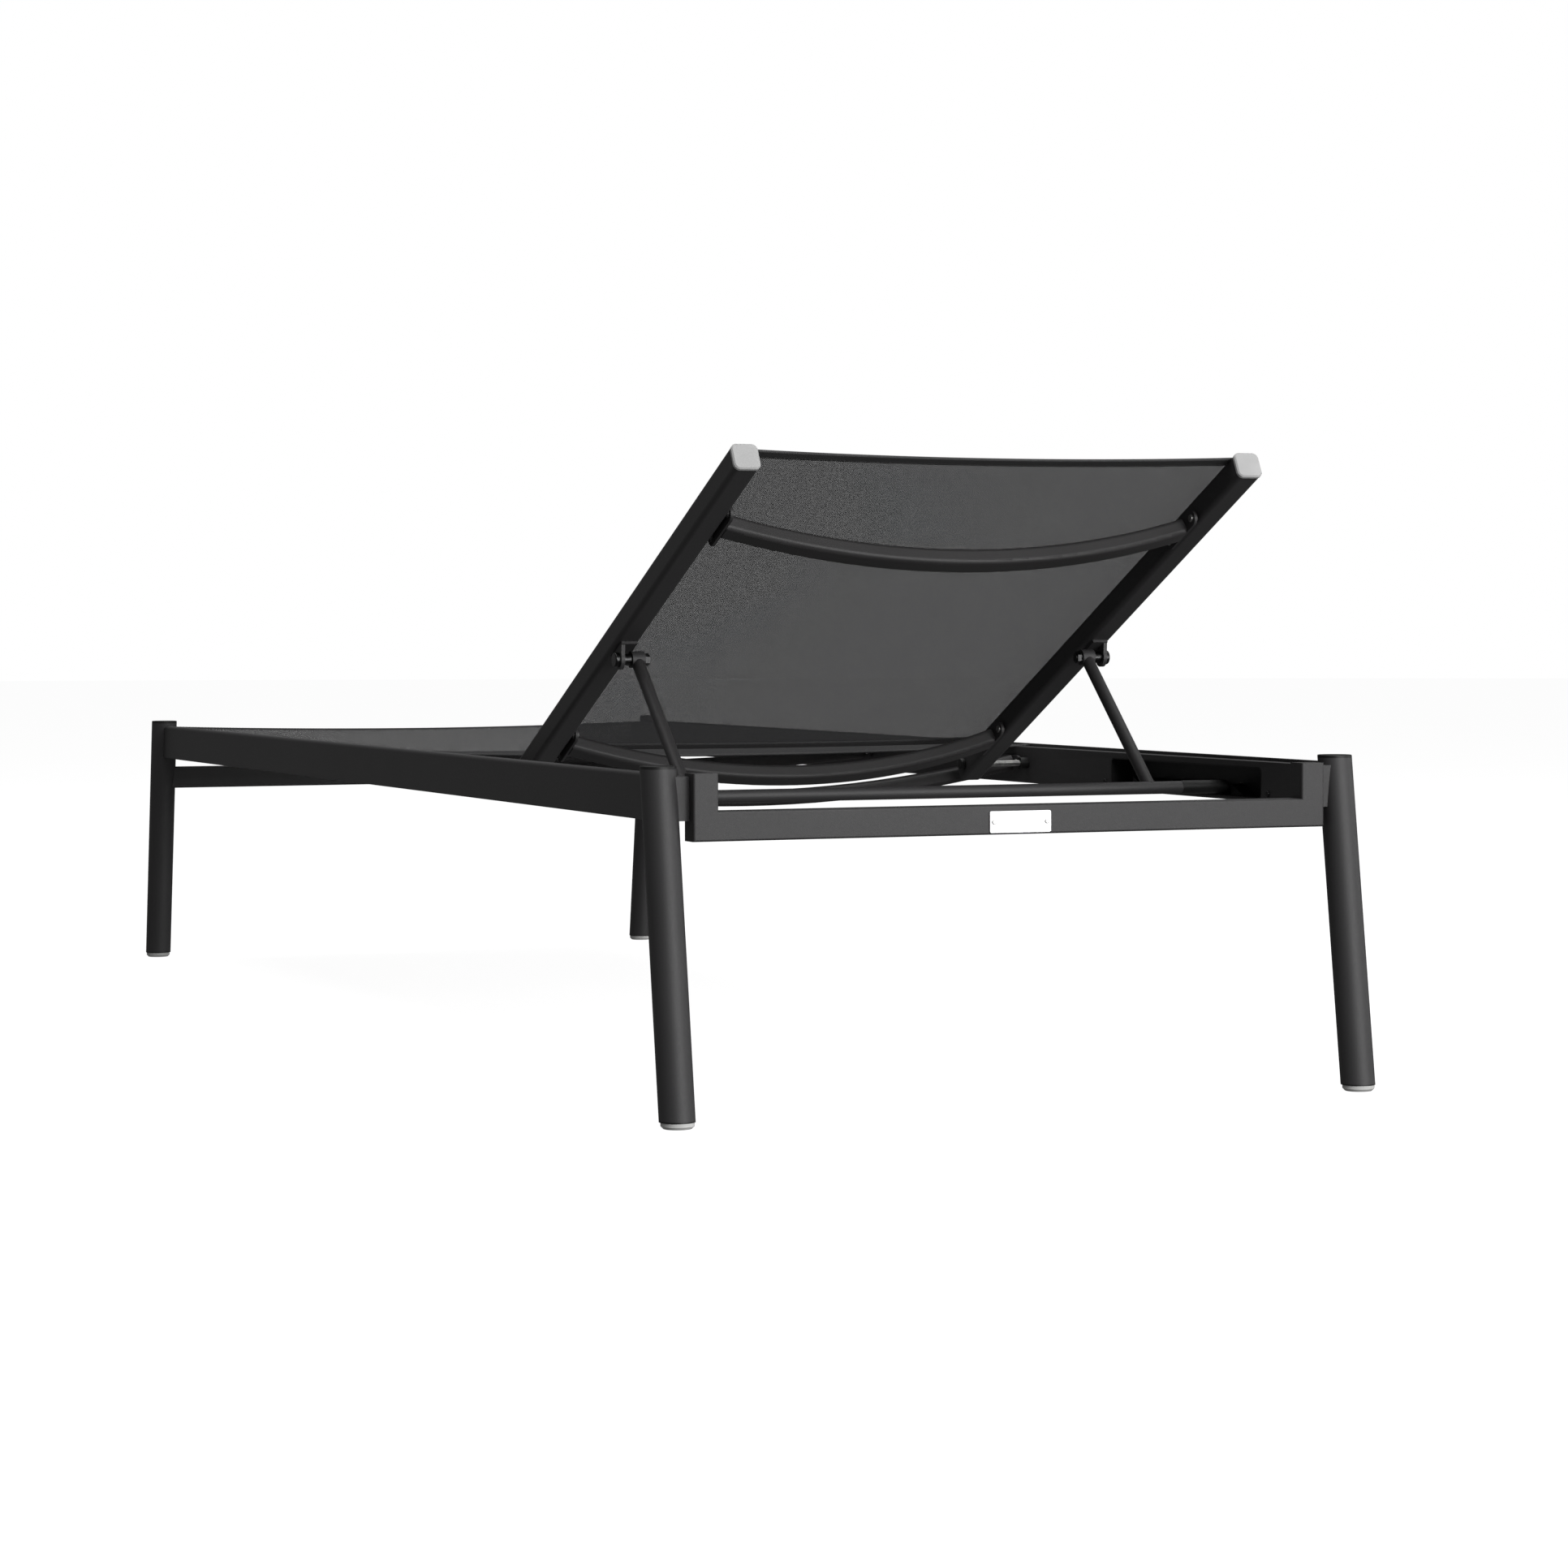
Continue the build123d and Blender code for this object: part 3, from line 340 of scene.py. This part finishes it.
def sling_mesh():
    """Woven PVC-coated mesh with small open holes between its yarns, which lets a little light through."""
    n = Nodes("sling_mesh")
    height = yarn_height(n)
    mottle = n.math("MULTIPLY", n.noise(**SLING_MOTTLE), SLING_MOTTLE_SHARE)
    yarns = n.math("MULTIPLY", height, 1.0 - SLING_MOTTLE_SHARE)
    colour = n.ramp(n.math("ADD", mottle, yarns), SLING_TONES, SLING_TONE_REACH)
    n.link(colour, n.shader.inputs["Base Color"])
    yarn_surface(n, height)
    glow = n.add("ShaderNodeBsdfTranslucent")
    glow.inputs["Color"].default_value = opaque(SLING_GLOW_TONE)
    lit = mixed(n, SLING_GLOW_SHARE, n.shader.outputs["BSDF"], glow.outputs["BSDF"])
    clear = n.add("ShaderNodeBsdfTransparent")
    open_hole = n.math("LESS_THAN", height, HOLE_LEVEL)
    n.link(mixed(n, open_hole, lit, clear.outputs["BSDF"]), n.output.inputs["Surface"])
    return n.material


def hem_fabric():
    """The sling's own mesh folded double: the same yarns with no holes, a little lighter."""
    n = Nodes("hem_fabric")
    height = yarn_height(n)
    n.link(n.ramp(height, HEM_TONES, HEM_TONE_REACH), n.shader.inputs["Base Color"])
    yarn_surface(n, height)
    return n.material


def thread():
    """Black polyester sewing thread with its twist."""
    n = Nodes("thread")
    wave = n.add("ShaderNodeTexWave", bands_direction="DIAGONAL")
    wave.inputs["Scale"].default_value = THREAD_TWIST_SCALE
    n.link(n.place(), wave.inputs["Vector"])
    twist = wave.outputs["Fac"]
    n.link(n.ramp(twist, THREAD_TONES, THREAD_TONE_REACH), n.shader.inputs["Base Color"])
    n.shader.inputs["Roughness"].default_value = THREAD_ROUGHNESS
    n.link(n.bump(twist, *THREAD_BUMP), n.shader.inputs["Normal"])
    return n.material


# ---- which finish goes where --------------------------------------------------------------------------
FINISHES = {
    "powder_coat": powder_coat(),
    "plate_metal": plate_metal(),
    "sling_mesh": sling_mesh(),
    "hem": hem_fabric(),
    "thread": thread(),
}
for plastic, settings in PLASTICS.items():
    FINISHES[plastic] = moulded_plastic(plastic, *settings)
for metal, tones in STEELS.items():
    FINISHES[metal] = plated_steel(metal, tones)


def finish_cad():
    """Gives each CAD node the finish that the record names for it."""
    slots = {part["node"]: part["material_slot"] for part in frame["record"]["subparts"]}
    for node, piece in frame["nodes"].items():
        piece.data.materials.clear()
        piece.data.materials.append(FINISHES[slots[node]])


# ---- slings -------------------------------------------------------------------------------------------
def sheet_mesh(name, across, along, surface, finish):
    """A grid of quads over two lists of places, with UVs in metres. surface gives each point in 3-D."""
    vertices = [surface(x, y) for y in along for x in across]
    row = len(across)
    faces = []
    for j in range(len(along) - 1):
        for i in range(row - 1):
            corner = j * row + i
            faces.append((corner, corner + 1, corner + row + 1, corner + row))
    mesh = bpy.data.meshes.new(name)
    mesh.from_pydata(vertices, [], faces)
    layer = mesh.uv_layers.new(name="cloth")
    for loop in mesh.loops:
        j, i = divmod(loop.vertex_index, row)
        layer.data[loop.index].uv = (across[i], along[j])
    for face in mesh.polygons:
        face.use_smooth = True
    mesh.materials.append(FINISHES[finish])
    piece = bpy.data.objects.new(name, mesh)
    bpy.context.scene.collection.objects.link(piece)
    return piece


def thicken(piece, thickness):
    """Turns a sheet into a closed one, with its top where the sheet was."""
    solid = piece.modifiers.new("thickness", "SOLIDIFY")
    solid.thickness = thickness
    solid.offset = -1.0
    bpy.context.view_layer.update()
    shown = piece.evaluated_get(bpy.context.evaluated_depsgraph_get())
    mesh = bpy.data.meshes.new_from_object(shown)
    piece.modifiers.clear()
    piece.data = mesh


def steps(low, high, count):
    return [low + (high - low) * i / count for i in range(count + 1)]


def lean(x, along, height):
    """A point of the backrest, given up along it and out from its face, in the frame of the model."""
    y = hinge.y + along * cos(RECLINE) - height * sin(RECLINE)
    z = hinge.z + along * sin(RECLINE) + height * cos(RECLINE)
    return Vector((x, y, z))


def flatten(point):
    """The reverse of lean: how far up the backrest a point is, and how far out from its face."""
    y = point.y - hinge.y
    z = point.z - hinge.z
    return y * cos(RECLINE) + z * sin(RECLINE), z * cos(RECLINE) - y * sin(RECLINE)


class Sling:
    """A tight sheet between two rails. It dips between them and its free edges curve a little inward."""

    def __init__(self, name, body, half, low, high, top, sag, place):
        self.name = name
        self.body = body
        self.half = half
        self.low = low
        self.high = high
        self.top = top
        self.sag = sag
        self.place = place

    def middle_share(self, x):
        """1 on the centre line and 0 at the rails."""
        return 1.0 - (x / self.half) ** 2

    def pull(self, x, y):
        """How far the sheet is drawn in at a place, most at its free edges and fading away from them."""
        middle = (self.low + self.high) / 2
        reach = (self.high - self.low) / 2
        edge = (y - middle) / reach
        return -edge * abs(edge) ** EDGE_PULL_FADE * EDGE_PULL * self.middle_share(x)

    def point(self, x, y, lift=0.0):
        """A place on the sheet, or above it by the lift."""
        height = self.top - self.sag * self.middle_share(x)
        return self.place(x, y + self.pull(x, y), height + lift)

    def hem_top(self, x, y):
        return self.point(x, y, HEM_THICKNESS / 2)

    def make(self):
        across = steps(-self.half, self.half, ACROSS_STEPS)
        along = steps(self.low, self.high, ALONG_STEPS)
        return sheet_mesh(self.name + "_cloth", across, along, self.point, "sling_mesh")

    def hem(self, title, low, high):
        """A band folded over a free edge, standing a little proud on both faces."""
        across = steps(-self.half, self.half, ACROSS_STEPS)
        along = steps(low, high, HEM_STEPS)
        piece = sheet_mesh(self.name + "_hem_" + title, across, along, self.hem_top, "hem")
        thicken(piece, MESH_THICKNESS + HEM_THICKNESS)
        return piece


def stitches(name, spans):
    """A row of stitches, one short raised thread for each span."""
    curve = bpy.data.curves.new(name, "CURVE")
    curve.dimensions = "3D"
    curve.bevel_depth = STITCH_RADIUS
    curve.bevel_resolution = STITCH_ROUNDNESS
    for start, end in spans:
        spline = curve.splines.new("POLY")
        spline.points.add(2)
        middle = (start + end) / 2
        for point, place in zip(spline.points, (start, middle, end)):
            point.co = (*place, 1.0)
    piece = bpy.data.objects.new(name, curve)
    curve.materials.append(FINISHES["thread"])
    bpy.context.scene.collection.objects.link(piece)
    return piece


def seam(sling, title, along, lift):
    """A stitched line across a sling at one place along it."""
    pitch = STITCH_LENGTH + STITCH_GAP
    count = int(2 * sling.half / pitch)
    spans = []
    for i in range(count):
        x = -sling.half + pitch * i
        spans.append((sling.point(x, along, lift), sling.point(x + STITCH_LENGTH, along, lift)))
    return stitches(sling.name + "_stitch_" + title, spans)


def finish_sling(sling, cad_node):
    """Makes the cloth, its two hems and their stitching, and puts them on their body."""
    cloth = sling.make()
    extras = []
    for title, low, high in (
        ("low", sling.low, sling.low + HEM_WIDTH),
        ("high", sling.high - HEM_WIDTH, sling.high),
    ):
        extras.append(sling.hem(title, low, high))
        inner = high - STITCH_INSET if title == "low" else low + STITCH_INSET
        extras.append(seam(sling, title + "_over", inner, HEM_THICKNESS / 2))
        extras.append(seam(sling, title + "_under", inner, -MESH_THICKNESS - HEM_THICKNESS / 2))
    for piece in [cloth] + extras:
        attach(piece, sling.body)
    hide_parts(cad_node)


def seat_place(x, along, height):
    """A point of the seat, which already lies in the frame of the model."""
    return Vector((x, along, height))


def make_slings():
    low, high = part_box("seat_sling")
    seat = Sling("seat", "frame", high.x, low.y, high.y, high.z, SEAT_SAG, seat_place)
    finish_sling(seat, "seat_sling")
    corners = [flatten(v.co) for v in frame["nodes"]["back_sling"].data.vertices]
    ups = [up for up, out in corners]
    top = max(out for up, out in corners)
    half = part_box("back_sling")[1].x
    back = Sling("back", "backrest", half, min(ups), max(ups), top, BACK_SAG, lean)
    finish_sling(back, "back_sling")


# ---- studio -------------------------------------------------------------------------------------------
def emitter(name, place, aim, size, power):
    light = bpy.data.lights.new(name, "AREA")
    light.shape = "RECTANGLE"
    light.size = size[0]
    light.size_y = size[1]
    light.energy = power
    lamp = bpy.data.objects.new(name, light)
    lamp.location = place
    lamp.rotation_mode = "QUATERNION"
    lamp.rotation_quaternion = (Vector(aim) - Vector(place)).to_track_quat("-Z", "Y")
    bpy.context.scene.collection.objects.link(lamp)


def paper_white(name, glow, shade):
    """White paper that is mostly evenly lit already, so that what stands on it leaves only a soft shadow."""
    n = Nodes(name)
    tones = ((shade,) * 3, (shade * PAPER_FIBRE_CONTRAST,) * 3)
    n.link(n.ramp(n.noise(**PAPER_FIBRES), tones), n.shader.inputs["Base Color"])
    n.shader.inputs["Roughness"].default_value = PAPER_ROUGHNESS
    n.shader.inputs["Specular IOR Level"].default_value = PAPER_SPECULAR
    n.shader.inputs["Emission Color"].default_value = opaque(PAPER_LIGHT)
    n.shader.inputs["Emission Strength"].default_value = glow
    return n.material


def lit_only_for_the_view(stage):
    """The paper is seen, but the lamps and the surround do the lighting."""
    stage.visible_diffuse = False
    stage.visible_glossy = False
    stage.visible_shadow = False


def make_paper():
    """The floor, and a closed white dome round it."""
    bpy.ops.mesh.primitive_plane_add(size=2 * PAPER_REACH)
    floor = bpy.context.object
    floor.name = "floor"
    floor.data.materials.append(paper_white("floor_paper", FLOOR_GLOW, FLOOR_SHADE))
    bpy.ops.mesh.primitive_uv_sphere_add(
        radius=PAPER_REACH, segments=DOME_SEGMENTS, ring_count=DOME_RINGS
    )
    dome = bpy.context.object
    dome.name = "dome"
    dome.data.materials.append(paper_white("dome_paper", DOME_GLOW, DOME_SHADE))
    for stage in (floor, dome):
        lit_only_for_the_view(stage)


def make_surround():
    """A dim surround that is brighter overhead, for soft reflections."""
    world = bpy.data.worlds.new("surround")
    world.use_nodes = True
    tree = world.node_tree
    split = tree.nodes.new("ShaderNodeSeparateXYZ")
    tree.links.new(tree.nodes.new("ShaderNodeTexCoord").outputs["Generated"], split.inputs["Vector"])
    ramp = tree.nodes.new("ShaderNodeValToRGB")
    for element, level in zip(ramp.color_ramp.elements, (SURROUND_LOW, SURROUND_HIGH)):
        element.color = opaque((level,) * 3)
    height = tree.nodes.new("ShaderNodeMapRange")
    height.inputs["From Min"].default_value = STRAIGHT_DOWN
    tree.links.new(split.outputs["Z"], height.inputs["Value"])
    tree.links.new(height.outputs["Result"], ramp.inputs["Fac"])
    tree.links.new(ramp.outputs["Color"], tree.nodes["Background"].inputs["Color"])
    bpy.context.scene.world = world


def make_studio():
    make_paper()
    make_surround()
    for name, place, size, power in LAMPS:
        emitter(name, place, LAMP_AIM, size, power)
    bpy.context.scene.view_settings.view_transform = "Standard"


def make_camera():
    data = bpy.data.cameras.new("camera")
    data.lens = LENS
    data.sensor_width = SENSOR
    data.clip_end = VIEW_REACH
    camera = bpy.data.objects.new("camera", data)
    camera.location = CAMERA_PLACE
    camera.rotation_euler = [radians(turn) for turn in CAMERA_TURN]
    bpy.context.scene.collection.objects.link(camera)
    bpy.context.scene.camera = camera


make_camera()
finish_cad()
make_slings()
make_studio()
